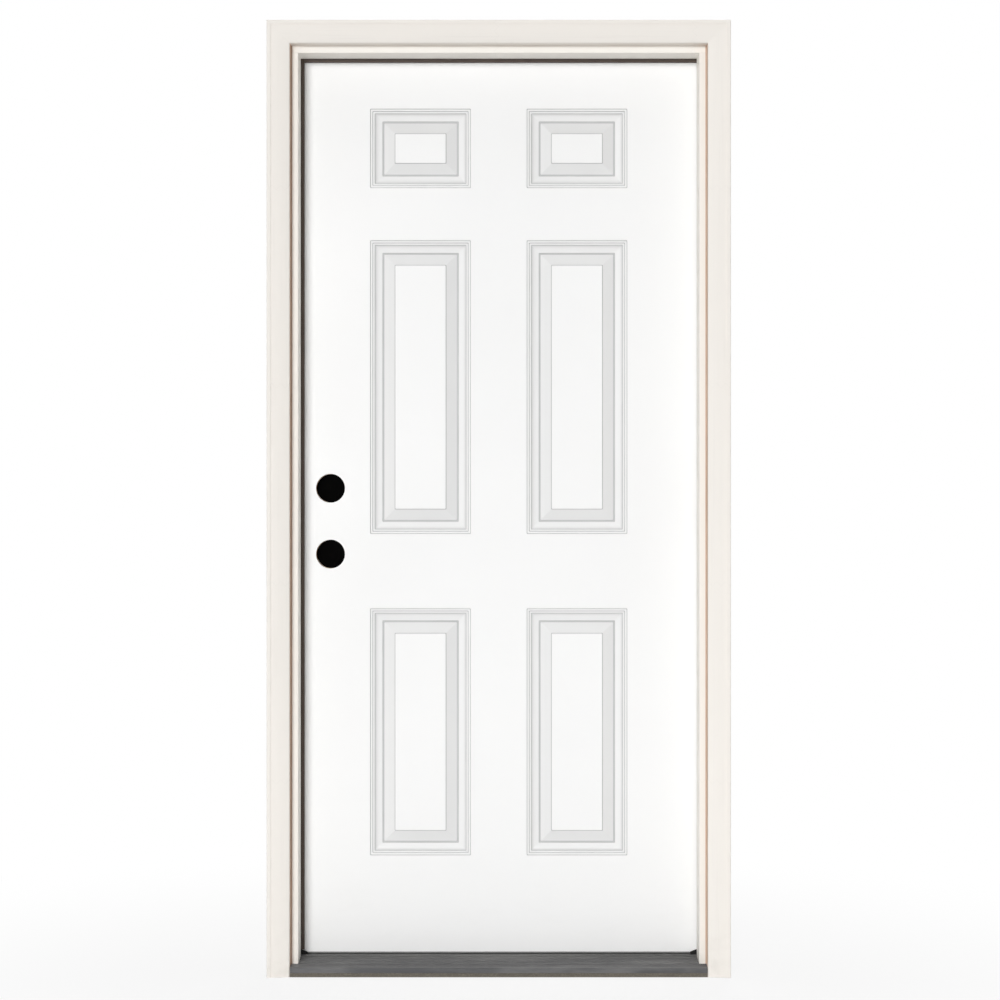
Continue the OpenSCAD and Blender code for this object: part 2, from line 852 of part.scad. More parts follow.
// Places of the six panels on the slab's face, with each panel's height
module at_panels() {
    for (side = [-1, 1], i = [0:len(panel_h) - 1]) {
        $panel_h = panel_h[i];
        translate([side * panel_x, 0, panel_z[i] + panel_h[i] / 2]) children();
    }
}

// Cross bores for the lock and the deadbolt
module lock_bores() {
    for (z = bore_z)
        translate([lock_x, -over, z])
            rotate([-90, 0, 0]) cylinder(h = door_t + 2 * over, d = bore_d);
}

// Latch bores from the slab's edge to the cross bores
module latch_bores() {
    for (z = bore_z)
        translate([-door_w / 2 - over, door_t / 2, z])
            rotate([0, 90, 0]) cylinder(h = backset + over, d = latch_d);
}

// One pressed skin, with its face in the plane y = 0
module skin() {
    in = [door_w / 2 - skin_t, skin_t];
    rings = concat([for (i = [len(face_line) - 1:-1:0]) face_line[i]], inner_line(face_line, skin_t));
    difference() {
        union() {
            difference() {
                linear_extrude(door_h)
                    difference() {
                        rounded_rect([-door_w / 2, 0], [door_w / 2, door_t], fold_r);
                        rounded_rect([-in[0], in[1]], [in[0], door_t - skin_t], fold_r - skin_t);
                        translate([-door_w, skin_return]) square([2 * door_w, door_t]);
                    }
                at_panels()
                    translate([-panel_w / 2, -over, -$panel_h / 2])
                        cube([panel_w, skin_t + 2 * over, $panel_h]);
            }
            at_panels() ring_solid(panel_w, $panel_h, rings);
        }
        lock_bores();
    }
}

// The slab's outer side turned to its inner side
module inner_side() {
    translate([0, door_t, 0]) mirror([0, 1, 0]) children();
}

module exterior_skin() {
    color("white") hung() skin();
}

module interior_skin() {
    color("snow")
        difference() {
            hung() inner_side() skin();
            slab_side() hinge_cuts(door_screw_len);
        }
}

// Section of the timber stile on the hinge side, grooved for the skins' returns
module stile_section() {
    bare = skin_return + glue_line;
    half = door_w / 2 - inner_y;
    intersection() {
        union() {
            rounded_rect([-half, inner_y], [half, door_t - inner_y], fold_r - skin_t);
            translate([0, bare]) square([door_w / 2, door_t - 2 * bare]);
        }
        translate([door_w / 2 - edge_stile_w, 0]) square([edge_stile_w, door_t]);
    }
}

module hinge_stile() {
    color("burlywood")
        difference() {
            hung() linear_extrude(door_h) stile_section();
            slab_side() hinge_cuts(door_screw_len);
        }
}

module lock_stile() {
    color("burlywood")
        hung()
            difference() {
                mirror([1, 0, 0]) linear_extrude(door_h) stile_section();
                latch_bores();
                for (z = bore_z)
                    translate([-door_w / 2 - over, (door_t - latch_plate_w) / 2, z - latch_plate_h / 2])
                        cube([latch_plate_d + over, latch_plate_w, latch_plate_h]);
            }
}

// A block between the two stiles and the two skins
module slab_filling(z0, height) {
    translate([-core_x, inner_y, z0]) cube([2 * core_x, inner_t, height]);
}

module top_rail() {
    color("wheat") hung() slab_filling(door_h - top_rail_h, top_rail_h);
}

// Places of the sweep's two legs across the slab's thickness
module at_sweep_legs() {
    for (side = [-1, 1])
        translate([door_t / 2 + side * sweep_pitch / 2, 0]) children();
}

module bottom_rail() {
    kerf = sweep_strip + 2 * fin_play;
    color("rosybrown")
        hung()
            difference() {
                slab_filling(0, bottom_rail_h);
                along_x(-door_w, 2 * door_w)
                    at_sweep_legs() translate([-kerf / 2, -over]) square([kerf, kerf_d + over]);
            }
}

module door_sweep() {
    half = door_w / 2 - sweep_inset;
    leg_half = core_x - fin_short;
    drop = sweep_h - sweep_play - sweep_fin / 2;
    color("darkslategray")
        hung() {
            along_x(-half, 2 * half) {
                translate([sweep_inset, -sweep_strip]) square([door_t - 2 * sweep_inset, sweep_strip]);
                for (i = [-1, 0, 1])
                    translate([door_t / 2 + i * sweep_pitch, -drop]) {
                        translate([-sweep_fin / 2, 0]) square([sweep_fin, drop]);
                        circle(d = sweep_fin);
                    }
            }
            along_x(-leg_half, 2 * leg_half)
                at_sweep_legs()
                    translate([-sweep_strip / 2, -sweep_strip])
                        square([sweep_strip, kerf_d + sweep_strip - fin_short]);
        }
}

// The lock block's box, grown by play on each side
module lock_block_box(play) {
    size = [lock_block_x + core_x, inner_t, bore_pitch + 2 * lock_block_end];
    grown = [play, play, play];
    translate([-core_x, inner_y, bore_z[0] - lock_block_end] - grown) cube(size + 2 * grown);
}

module lock_block() {
    color("peru")
        hung()
            difference() {
                lock_block_box(0);
                lock_bores();
                latch_bores();
            }
}

module foam_core() {
    foot = bottom_rail_h + glue_line;
    rings = concat([[0, 0]], inner_line(face_line, skin_t + glue_line));
    color("khaki")
        hung()
            difference() {
                slab_filling(foot, door_h - top_rail_h - glue_line - foot);
                lock_block_box(glue_line);
                at_panels() ring_solid(panel_w, $panel_h, rings);
                inner_side() at_panels() ring_solid(panel_w, $panel_h, rings);
            }
}

lock_jamb();
hinge_jamb();
head_jamb();
lock_casing();
hinge_casing();
head_casing();
lock_weatherstrip();
hinge_weatherstrip();
head_weatherstrip();
lock_corner_pad();
hinge_corner_pad();
sill_base();
sill_deck();
sill_screws();
head_screws();
jamb_leaf(0);  // bottom_jamb_leaf
jamb_leaf(1);  // middle_jamb_leaf
jamb_leaf(2);  // top_jamb_leaf
hinge_pin(0);  // bottom_pin
hinge_pin(1);  // middle_pin
hinge_pin(2);  // top_pin
jamb_leaf_screws();
exterior_skin();
interior_skin();
lock_stile();
hinge_stile();
top_rail();
bottom_rail();
lock_block();
foam_core();
door_sweep();
door_leaf(0);  // bottom_door_leaf
door_leaf(1);  // middle_door_leaf
door_leaf(2);  // top_door_leaf
door_leaf_screws();
threshold_cap();
adjuster(0);  // adjuster_1
adjuster(1);  // adjuster_2
adjuster(2);  // adjuster_3
adjuster(3);  // adjuster_4
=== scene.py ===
"""Looks of a six-panel steel entry door in its primed timber frame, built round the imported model."""

import json
import math

import bmesh
import bpy
from bpy.props import FloatProperty, FloatVectorProperty, PointerProperty
from mathutils import Matrix, Vector
from mathutils.geometry import delaunay_2d_cdt

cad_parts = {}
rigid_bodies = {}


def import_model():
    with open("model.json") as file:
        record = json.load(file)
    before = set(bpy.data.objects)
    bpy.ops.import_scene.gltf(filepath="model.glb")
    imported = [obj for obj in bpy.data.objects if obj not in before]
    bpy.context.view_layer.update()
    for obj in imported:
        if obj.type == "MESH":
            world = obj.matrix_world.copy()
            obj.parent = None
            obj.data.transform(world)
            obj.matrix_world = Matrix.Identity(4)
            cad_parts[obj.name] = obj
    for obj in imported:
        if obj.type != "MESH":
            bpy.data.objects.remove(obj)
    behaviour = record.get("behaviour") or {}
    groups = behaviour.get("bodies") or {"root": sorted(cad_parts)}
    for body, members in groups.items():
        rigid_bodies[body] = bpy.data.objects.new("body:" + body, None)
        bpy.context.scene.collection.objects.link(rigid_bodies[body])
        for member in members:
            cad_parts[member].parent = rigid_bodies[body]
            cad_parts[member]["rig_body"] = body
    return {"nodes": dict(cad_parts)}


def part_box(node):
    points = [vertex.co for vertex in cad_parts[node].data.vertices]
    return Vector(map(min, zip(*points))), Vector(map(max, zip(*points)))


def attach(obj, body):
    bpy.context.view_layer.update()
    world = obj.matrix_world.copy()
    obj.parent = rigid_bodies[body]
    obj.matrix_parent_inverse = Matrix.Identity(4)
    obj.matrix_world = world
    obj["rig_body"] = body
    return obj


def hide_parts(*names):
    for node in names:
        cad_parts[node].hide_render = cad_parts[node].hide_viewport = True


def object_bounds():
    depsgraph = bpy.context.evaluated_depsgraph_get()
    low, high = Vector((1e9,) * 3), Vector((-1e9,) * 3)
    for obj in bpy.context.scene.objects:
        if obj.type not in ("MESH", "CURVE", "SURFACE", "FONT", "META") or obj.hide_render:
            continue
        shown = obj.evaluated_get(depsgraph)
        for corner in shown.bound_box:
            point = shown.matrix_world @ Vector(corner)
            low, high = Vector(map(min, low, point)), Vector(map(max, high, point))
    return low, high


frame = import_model()
cad_low, cad_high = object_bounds()

bl_info = {
    "name": "Six-panel entry door",
    "version": (1, 0, 0),
    "blender": (4, 5, 0),
    "location": "View3D > Sidebar > Door",
    "description": "Pressed skins, timber frame, seals, sill and hinges of an entry door",
    "category": "Object",
}

SKIN_LOW, SKIN_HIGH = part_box("exterior_skin")
BACK_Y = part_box("interior_skin")[1].y
HINGE_NAMES = ("bottom", "middle", "top")
ADJUSTERS = ("adjuster_1", "adjuster_2", "adjuster_3", "adjuster_4")
MM = 0.001
# Points of a CAD mesh that are closer than this, in metres, are one point
WELD = 2e-6
# Linear colours of what settles on the finishes
SCUFF = (0.55, 0.54, 0.52)
SOIL = (0.5, 0.46, 0.4)
SEAL_DUST = (0.4, 0.38, 0.35)
DECK_DUST = (0.36, 0.355, 0.345)


def length(label, text, value):
    """A property that holds a length in metres."""
    return FloatProperty(name=label, description=text, default=value, unit="LENGTH", precision=5)


def colour(label, text, value):
    """A property that holds a linear colour."""
    return FloatVectorProperty(name=label, description=text, default=value, subtype="COLOR", min=0, max=1)


class DoorSizes(bpy.types.PropertyGroup):
    """Sizes of the pressed skins and of the small rounding on the other pieces."""

    sheet: length("Sheet", "Thickness of the steel skins", 0.7 * MM)
    fold: length("Fold radius", "Outside radius of the skins' folded edges", 1.6 * MM)
    back_fold: length("Return", "Width of the skins' return along the slab's edges", 6 * MM)
    press_radius: length("Press radius", "Radius of the breaks in the pressed moulding", 1.0 * MM)
    corner_radius: length("Corner radius", "Radius of the pressed panels' corners", 1.8 * MM)
    side: length("Side", "Face width from the slab's edge to the nearest panel", 163.5 * MM)
    mullion: length("Mullion", "Face width between the two columns of panels", 123 * MM)
    bottom_face: length("Bottom face", "Face height below the bottom panels", 215 * MM)
    lock_face: length("Lock face", "Face height between the bottom and middle panels", 165 * MM)
    middle_panel: length("Middle panel", "Height of the middle panels", 663 * MM)
    frieze_face: length("Frieze face", "Face height between the middle and top panels", 115 * MM)
    top_panel: length("Top panel", "Height of the top panels", 181 * MM)
    top_face: length("Top face", "Face height above the top panels", 119 * MM)
    moulding: length("Moulding", "Width of the moulding outside the groove", 28.5 * MM)
    fillet: length("Fillet", "Width of each of the moulding's two fillets", 5 * MM)
    fillet_drop: length("Fillet drop", "Drop of each fillet below the one before", 1.8 * MM)
    step: length("Step", "Width across each pressed step", 1.4 * MM)
    groove: length("Groove", "Depth of the groove below the face", 10 * MM)
    groove_floor: length("Groove floor", "Width of the groove's floor", 2.5 * MM)
    quirk: length("Quirk", "Drop from the moulding's cove into the groove", 1.5 * MM)
    bevel: length("Bevel", "Width of the bevel round the raised field", 24 * MM)
    field_step: length("Field step", "Rise of the step from the bevel to the field", 1.8 * MM)
    field_depth: length("Field depth", "Depth of the raised field below the face", 0.8 * MM)
    bore: length("Bore", "Diameter of the lock bores", 65 * MM)
    backset: length("Backset", "Distance from the slab's edge to the bores' centres", 75.6 * MM)
    lock_height: length("Lock height", "Height of the lower bore above the slab's foot", 894 * MM)
    bore_pitch: length("Bore pitch", "Distance between the two bores", 148 * MM)
    notch: length("Hinge notch", "Width that the hinge leaves take off the inner skin's edge", 2.5 * MM)
    timber_edge: length("Timber edge", "Width of the small rounding on timber edges", 0.5 * MM)
    seal_edge: length("Seal edge", "Width of the small rounding on seals", 0.3 * MM)
    metal_edge: length("Metal edge", "Width of the small rounding on metal edges", 0.35 * MM)


class DoorFinishes(bpy.types.PropertyGroup):
    """Colours of the finishes."""

    steel: colour("Steel primer", "White primer on the pressed skins", (0.93, 0.932, 0.928))
    # Painted shade: this grey is mixed into the primer on the pressed steps, bevels and groove
    painted_press_shade: colour("Press shade", "Painted shade in the pressed moulding", (0.42, 0.42, 0.425))
    primer: colour("Casing primer", "Warm white primer on the casing", (0.915, 0.875, 0.822))
    # Partly its own cream and partly painted light: paler than the casing primer to offset the shade the
    # jambs get behind the casing
    jamb: colour("Jamb primer", "Cream primer on the jambs", (0.955, 0.925, 0.87))
    # Partly bare timber and partly painted shade: this brown also stands for the shadow in the joint
    # between casing and jamb
    seam: colour("Seam", "Bare timber and painted shade along the casing's inner edge", (0.58, 0.38, 0.26))
    pine: colour("Pine", "Bare softwood of the stiles and rails", (0.66, 0.47, 0.28))
    seal: colour("Brown seal", "Vinyl of the weatherstrips", (0.075, 0.052, 0.037))
    pad: colour("Corner pad", "Foam of the corner pads", (0.012, 0.012, 0.012))
    base: colour("Sill base", "Composite under the sill's nose", (0.16, 0.145, 0.118))
    deck: colour("Sill deck", "Dark mill-finish aluminium", (0.056, 0.056, 0.058))
    brass: colour("Hinge brass", "Satin plating of the hinges", (0.66, 0.5, 0.26))
    zinc: colour("Zinc", "Plating of the frame and adjusting screws", (0.6, 0.6, 0.58))
    cap: colour("Threshold cap", "Grey composite of the threshold cap", (0.17, 0.17, 0.168))
    foam: colour("Foam", "Rigid foam of the core", (0.78, 0.66, 0.38))
    sweep: colour("Sweep", "Grey vinyl of the door sweep", (0.2, 0.2, 0.198))


class Value:
    """A node's output, on which arithmetic adds Math nodes."""

    def __init__(self, web, socket):
        self.web = web
        self.socket = socket

    def math(self, operation, *operands):
        """A Math node on the operands, in their order."""
        return self.web.add("ShaderNodeMath", {"operation": operation}, dict(enumerate(operands)))

    def __add__(self, other):
        return self.math("ADD", self, other)

    __radd__ = __add__

    def __sub__(self, other):
        return self.math("SUBTRACT", self, other)

    def __rsub__(self, other):
        return self.math("SUBTRACT", other, self)

    def __mul__(self, other):
        return self.math("MULTIPLY", self, other)

    __rmul__ = __mul__

    def __truediv__(self, other):
        return self.math("DIVIDE", self, other)

    def __abs__(self):
        return self.math("ABSOLUTE", self)

    def between(self, low, high):
        """0 below low, 1 above high and a smooth rise between; it falls where low is above high."""
        settings = {"interpolation_type": "SMOOTHSTEP"}
        ends = (0.0, 1.0) if low < high else (1.0, 0.0)
        inputs = {0: self, 1: min(low, high), 2: max(low, high), 3: ends[0], 4: ends[1]}
        return self.web.add("ShaderNodeMapRange", settings, inputs)


class Web:
    """A node tree that nodes are added to."""

    def __init__(self, tree):
        self.tree = tree
        tree.nodes.clear()

    def add(self, kind, settings=None, inputs=None, out=0):
        """A node of that kind: its settings first, then the values or links of its inputs."""
        node = self.tree.nodes.new(kind)
        for name, value in (settings or {}).items():
            setattr(node, name, value)
        for key, value in (inputs or {}).items():
            for item in value if isinstance(value, list) else [value]:
                if isinstance(item, Value):
                    self.tree.links.new(item.socket, node.inputs[key])
                else:
                    node.inputs[key].default_value = item
        return Value(self, node.outputs[out]) if node.outputs else None

    def any_ray(self, *kinds):
        """1 for rays of the kinds named, and 0 for the others."""
        rays = [self.add("ShaderNodeLightPath", out=f"Is {kind} Ray") for kind in kinds]
        total = sum(rays[1:], rays[0])
        return total.math("MINIMUM", total, 1.0)


class Finish(Web):
    """The node tree of one material, on object coordinates in metres."""

    def __init__(self, name):
        self.material = bpy.data.materials.new(name)
        self.material.use_nodes = True
        super().__init__(self.material.node_tree)
        self.place = self.add("ShaderNodeTexCoord", out="Object")

    def stretched(self, x, y, z):
        """Object coordinates scaled along each axis."""
        return self.add("ShaderNodeMapping", None, {"Vector": self.place, "Scale": (x, y, z)})

    def axis(self, index):
        """One object coordinate, in metres."""
        return self.add("ShaderNodeSeparateXYZ", None, {0: self.place}, out=index)

    def noise(self, scale, detail=2.0, roughness=0.5, vector=None):
        """Soft noise from 0 to 1."""
        inputs = {"Vector": vector or self.place, "Scale": scale, "Detail": detail, "Roughness": roughness}
        return self.add("ShaderNodeTexNoise", None, inputs)

    def cells(self, scale):
        """Distance to the nearest cell's centre."""
        return self.add("ShaderNodeTexVoronoi", None, {"Vector": self.place, "Scale": scale})

    def mix(self, share, first, second):
        """A colour between two, by share."""
        first, second = (c if isinstance(c, Value) else (*c[:3], 1.0) for c in (first, second))
        return self.add("ShaderNodeMix", {"data_type": "RGBA"}, {0: share, 6: first, 7: second}, out=2)

    def bump(self, height, distance, strength=1.0):
        """A normal from a height in shares of distance, in metres."""
        inputs = {"Height": height, "Distance": distance, "Strength": strength}
        return self.add("ShaderNodeBump", None, inputs)

    def surface(self, base, roughness, normal, metallic=0.0, specular=0.5):
        """Ends the material in one Principled shader and returns the material."""
        inputs = {"Base Color": base, "Roughness": roughness, "Normal": normal}
        inputs |= {"Metallic": metallic, "Specular IOR Level": specular}
        shader = self.add("ShaderNodeBsdfPrincipled", None, inputs)
        self.add("ShaderNodeOutputMaterial", None, {"Surface": shader})
        return self.material


def shade(base, factor):
    """A colour made lighter or darker."""
    return tuple(min(1.0, c * factor) for c in base[:3])


def steel_primer(finishes):
    """Smooth white primer on pressed steel, with painted shade in the pressings, scuffed near the foot."""
    web = Finish("steel_primer")
    mottle = web.noise(2.4, 3.0)
    press = web.add("ShaderNodeAttribute", {"attribute_name": "painted_shade_tone"}, out="Fac")
    # Painted shade: the pressings' steps, bevels and groove are greyed by each point's tone
    painted_shade_share = press * (0.92 + 0.16 * web.noise(14.0))
    clean = web.mix(mottle, shade(finishes.steel, 1.012), shade(finishes.steel, 0.985))
    toned = web.mix(painted_shade_share, clean, finishes.painted_press_shade)
    kicked = web.noise(9.0, 4.0, 0.6, web.stretched(1, 1, 3)).between(0.5, 0.85)
    scuff = web.axis(2).between(0.32, 0.04) * kicked
    base = web.mix(scuff * 0.05, toned, SCUFF)
    peel = web.noise(850.0, 1.0)
    normal = web.bump(peel, 0.08 * MM, 0.35)
    return web.surface(base, 0.44 + 0.1 * mottle + 0.08 * scuff, normal)


def timber_primer(finishes, name, primer, along_x, seam, seam_depth, seam_share):
    """Primer over finger-jointed softwood whose grain runs along one axis, with a brown seam that is partly
    bare timber and partly painted shade.

    The seam fades in across the grain between the two places in seam, and in depth between the two in
    seam_depth. Its share is how much of the primer gives way to the seam's brown there.
    """
    web = Finish(name)
    teeth_per_metre, tooth_length, block_length = 52.0, 0.022, 0.437
    run, side = (web.axis(0), web.axis(2)) if along_x else (web.axis(2), web.axis(0))
    grain_scale = (3.5, 160, 160) if along_x else (160, 160, 3.5)
    grain = web.noise(1.0, 4.0, 0.6, web.stretched(*grain_scale))
    fleck = web.noise(1.0, 2.0, 0.5, web.stretched(*(v * 2.3 for v in grain_scale)))
    across = side * teeth_per_metre
    tooth = across.math("PINGPONG", across, 0.5)
    joint_run = (run + tooth * tooth_length) / block_length
    joint = abs(joint_run.math("FRACT", joint_run) - 0.5).between(0.497, 0.4995)
    cloud = web.noise(1.7, 3.0)
    tint = web.mix(cloud, shade(primer, 1.02), shade(primer, 0.965))
    lined = web.mix(grain.between(0.5, 0.85) * 0.22 + joint * 0.18, tint, shade(primer, 0.82))
    soil = web.axis(2).between(0.16, 0.01) * web.noise(26.0, 3.0).between(0.4, 0.75)
    painted = web.mix(soil * 0.16, lined, SOIL)
    # Painted shade in part: the seam's brown darkens the joint between casing and jamb, where shadow falls
    edge = abs(side).between(*seam) * web.axis(1).between(*seam_depth)
    bare = web.mix(grain, shade(finishes.seam, 1.12), shade(finishes.seam, 0.82))
    base = web.mix(edge * (seam_share + 0.25 * (fleck - 0.5)), painted, bare)
    height = grain * 0.6 + fleck * 0.25 - joint * 0.8
    roughness = 0.52 + 0.12 * grain + 0.1 * edge
    return web.surface(base, roughness, web.bump(height, 0.12 * MM, 0.5), specular=0.4)


def bare_pine(finishes, name, along_x):
    """Bare softwood with its year rings drawn out along one axis."""
    web = Finish(name)
    year_count = 7.0
    ring_scale = (1.1, 26, 26) if along_x else (26, 26, 1.1)
    fibre_scale = (9, 420, 420) if along_x else (420, 420, 9)
    warp = web.noise(1.0, 3.0, 0.55, web.stretched(*ring_scale))
    years = warp * year_count
    year = years.math("PINGPONG", years, 1.0)
    fibre = web.noise(1.0, 3.0, 0.6, web.stretched(*fibre_scale))
    pale = web.mix(fibre, shade(finishes.pine, 1.12), shade(finishes.pine, 0.93))
    late = year.between(0.55, 0.98) * (0.55 + 0.4 * fibre)
    base = web.mix(late, pale, shade(finishes.pine, 0.56))
    normal = web.bump(fibre * 0.7 + year * 0.3, 0.15 * MM, 0.6)
    return web.surface(base, 0.62 + 0.16 * fibre, normal, specular=0.35)


def vinyl(name, base_colour, along_x, streak, roughness):
    """Extruded vinyl with faint drawing lines along its run and a little dust."""
    web = Finish(name)
    line_scale = (2.5, 700, 700) if along_x else (700, 700, 2.5)
    lines = web.noise(1.0, 3.0, 0.6, web.stretched(*line_scale))
    dust = web.noise(31.0, 4.0, 0.62)
    base = web.mix(lines, shade(base_colour, 1.0 + streak), shade(base_colour, 1.0 - streak))
    dusted = web.mix(dust.between(0.58, 0.8) * 0.14, base, SEAL_DUST)
    return web.surface(dusted, roughness + 0.16 * dust, web.bump(lines, 0.1 * MM, 0.5))


def cell_foam(name, base_colour, scale, depth):
    """Foam with open cells in its skin."""
    web = Finish(name)
    cell = web.cells(scale)
    cloud = web.noise(18.0, 3.0)
    base = web.mix(cell * 0.8 + cloud * 0.3, shade(base_colour, 0.72), shade(base_colour, 1.25))
    return web.surface(base, 0.82 + 0.1 * cell, web.bump(cell, depth, 0.8), specular=0.3)


def sill_composite(finishes):
    """Moulded wood and resin composite with a speckle and saw lines along the sill."""
    web = Finish("sill_composite")
    speck = web.noise(420.0, 2.0, 0.7)
    saw = web.noise(1.0, 3.0, 0.6, web.stretched(6, 260, 260))
    base = web.mix(speck.between(0.35, 0.7), shade(finishes.base, 0.8), shade(finishes.base, 1.2))
    grimed = web.mix(web.noise(22.0, 4.0).between(0.5, 0.75) * 0.35, base, shade(finishes.base, 0.5))
    normal = web.bump(speck * 0.6 + saw * 0.4, 0.2 * MM, 0.7)
    return web.surface(grimed, 0.72 + 0.16 * speck, normal, specular=0.35)


def deck_metal(finishes):
    """Dark mill-finish aluminium with die lines along the sill and a film of dust on its level faces."""
    web = Finish("deck_metal")
    die = web.noise(1.0, 4.0, 0.65, web.stretched(2.2, 900, 900))
    dust = web.noise(11.0, 5.0, 0.6, web.stretched(0.5, 2, 2)).between(0.42, 0.8)
    facing = web.add("ShaderNodeNewGeometry", out="Normal")
    level = web.add("ShaderNodeSeparateXYZ", None, {0: facing}, out="Z").between(0.6, 0.95)
    film = dust * 0.2 + level * 0.36
    metal = web.mix(die, shade(finishes.deck, 0.86), shade(finishes.deck, 1.16))
    base = web.mix(film, metal, DECK_DUST)
    roughness = 0.36 + 0.14 * die + 0.3 * film
    return web.surface(base, roughness, web.bump(die, 0.06 * MM, 0.5), metallic=0.75 - 0.5 * film)


def plating(name, base_colour, brush, tarnish):
    """Plated metal, brushed along Z and dulled in patches."""
    web = Finish(name)
    line = web.noise(1.0, 3.0, 0.6, web.stretched(900, 900, brush))
    patch = web.noise(38.0, 4.0, 0.6).between(0.4, 0.75)
    metal = web.mix(line, shade(base_colour, 0.93), shade(base_colour, 1.06))
    base = web.mix(patch * tarnish, metal, shade(base_colour, 0.5))
    roughness = 0.24 + 0.12 * line + 0.2 * patch
    return web.surface(base, roughness, web.bump(line, 0.03 * MM, 0.5), metallic=1.0)


def grained_cap(finishes):
    """Grey composite cap embossed with a grain along the sill."""
    web = Finish("grained_cap")
    grain = web.noise(1.0, 4.0, 0.62, web.stretched(5, 210, 210))
    cloud = web.noise(9.0, 2.0, 0.5, web.stretched(0.4, 3, 3))
    base = web.mix(grain.between(0.35, 0.75), shade(finishes.cap, 1.18), shade(finishes.cap, 0.7))
    worn = web.mix(cloud.between(0.5, 0.8) * 0.2, base, shade(finishes.cap, 1.7))
    return web.surface(worn, 0.46 + 0.2 * grain, web.bump(grain, 0.22 * MM, 0.7))


def paint_node(node, material):
    """Gives a CAD node that stays in view its finish."""
    for slot in frame["nodes"][node].material_slots:
        slot.material = material


def mesh_object(name, data):
    """A new object in the scene for a mesh, a lamp or a camera."""
    obj = bpy.data.objects.new(name, data)
    bpy.context.scene.collection.objects.link(obj)
    return obj


def settle_modifiers(obj):
    """Turns an object's modifiers into plain mesh."""
    graph = bpy.context.evaluated_depsgraph_get()
    mesh = bpy.data.meshes.new_from_object(obj.evaluated_get(graph))
    obj.modifiers.clear()
    mesh.name = obj.name
    obj.data = mesh


def even_normals(obj):
    """Lets broad faces keep their own direction beside small rounded edges."""
    modifier = obj.modifiers.new("even_normals", "WEIGHTED_NORMAL")
    modifier.weight = 100
    modifier.keep_sharp = True


def body_of_node(node):
    """Name of the body that carries a CAD node."""
    return frame["nodes"][node]["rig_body"]


def eased_copy(node, width, material):
    """A copy of a CAD node, joined up and with its hard edges rounded, that stands for the node."""
    flat_angle, hard_angle = math.radians(0.3), math.radians(32)
    mesh = frame["nodes"][node].data.copy()
    mesh.materials.clear()
    mesh.materials.append(material)
    shape = bmesh.new()
    shape.from_mesh(mesh)
    bmesh.ops.remove_doubles(shape, verts=shape.verts, dist=WELD)
    bmesh.ops.dissolve_limit(shape, angle_limit=flat_angle, verts=shape.verts, edges=shape.edges)
    for face in shape.faces:
        face.smooth = True
        face.material_index = 0
    shape.to_mesh(mesh)
    shape.free()
    cad_normals = mesh.attributes.get("custom_normal")
    if cad_normals is not None:
        mesh.attributes.remove(cad_normals)
    obj = mesh_object(node + "_eased", mesh)
    bevel = obj.modifiers.new("eased_edges", "BEVEL")
    bevel.width = width
    bevel.segments = 2
    bevel.limit_method = "ANGLE"
    bevel.angle_limit = hard_angle
    bevel.miter_outer = "MITER_ARC"
    bevel.use_clamp_overlap = True
    even_normals(obj)
    settle_modifiers(obj)
    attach(obj, body_of_node(node))
    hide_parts(node)


def round_line(points, radius, steps=4):
    """The line with each sharp break replaced by a short arc."""
    least_turn, most_share = math.radians(14), 0.45
    line = [points[0]]
    for before, here, after in zip(points, points[1:], points[2:]):
        entry, leave = before - here, after - here
        turn = math.pi - entry.angle(leave)
        if turn < least_turn:
            line.append(here)
            continue
        shorter = min(most_share * entry.length, most_share * leave.length)
        reach = min(radius * math.tan(turn / 2), shorter)
        start = here + entry.normalized() * reach
        end = here + leave.normalized() * reach
        for i in range(steps + 1):
            t = i / steps
            line.append(start * (1 - t) ** 2 + here * (2 * t * (1 - t)) + end * t**2)
    line.append(points[-1])
    return line


def press_line(sizes):
    """Section of the pressed moulding, as inset and depth from the panel's edge."""
    points = [(0.0, 0.0), (sizes.step, 0.0)]
    for i in (1, 2):
        points.append((2 * sizes.step + (i - 1) * sizes.fillet, i * sizes.fillet_drop))
        points.append((sizes.step + i * sizes.fillet, i * sizes.fillet_drop))
    start, drop = points[-1]
    cove_steps = 10
    for i in range(1, cove_steps + 1):
        angle = math.pi / 2 * i / cove_steps
        inset = start + (sizes.moulding - start) * (1 - math.cos(angle))
        points.append((inset, drop + (sizes.groove - sizes.quirk - drop) * math.sin(angle)))
    bevel_start = sizes.moulding + sizes.step + sizes.groove_floor
    points.append((sizes.moulding + sizes.step, sizes.groove))
    points.append((bevel_start, sizes.groove))
    points.append((bevel_start + sizes.bevel, sizes.field_depth + sizes.field_step))
    points.append((bevel_start + sizes.bevel + sizes.step, sizes.field_depth))
    points.append((bevel_start + sizes.bevel + 3 * sizes.step, sizes.field_depth))
    rounded = round_line([Vector(p) for p in points], sizes.press_radius)
    line = [rounded[0]]
    margin = 0.7 * MM
    for a, b in zip(rounded, rounded[1:]):
        run = b - a
        if run.length > 4 * margin:
            inset = run.normalized() * margin
            line += [a + inset, b - inset]
        line.append(b)
    return line


def painted_shade_tones(line, sizes):
    """How deep the painted shade is at each point of the section: most on steps and in the groove."""
    tones = []
    gentle, steep = math.radians(17), math.radians(50)
    bevel_tone, step_tone, groove_tone, sunk_tone = 0.2, 0.6, 0.75, 0.14
    groove_from = 0.98 * sizes.groove
    for i, point in enumerate(line):
        run = line[min(i + 1, len(line) - 1)] - line[max(i - 1, 0)]
        slope = abs(math.atan2(run.y, run.x))
        on_bevel = bevel_tone * min(1.0, slope / gentle)
        on_step = step_tone * max(0.0, min(1.0, (slope - gentle) / (steep - gentle)))
        below = max(0.0, min(1.0, (point.y - sizes.field_depth) / sizes.fillet_drop))
        in_groove = groove_tone if point.y > groove_from else sunk_tone * below
        tones.append(max(on_bevel + on_step, in_groove))
    tones[0] = 0.0
    tones[-1] = 0.0
    return tones


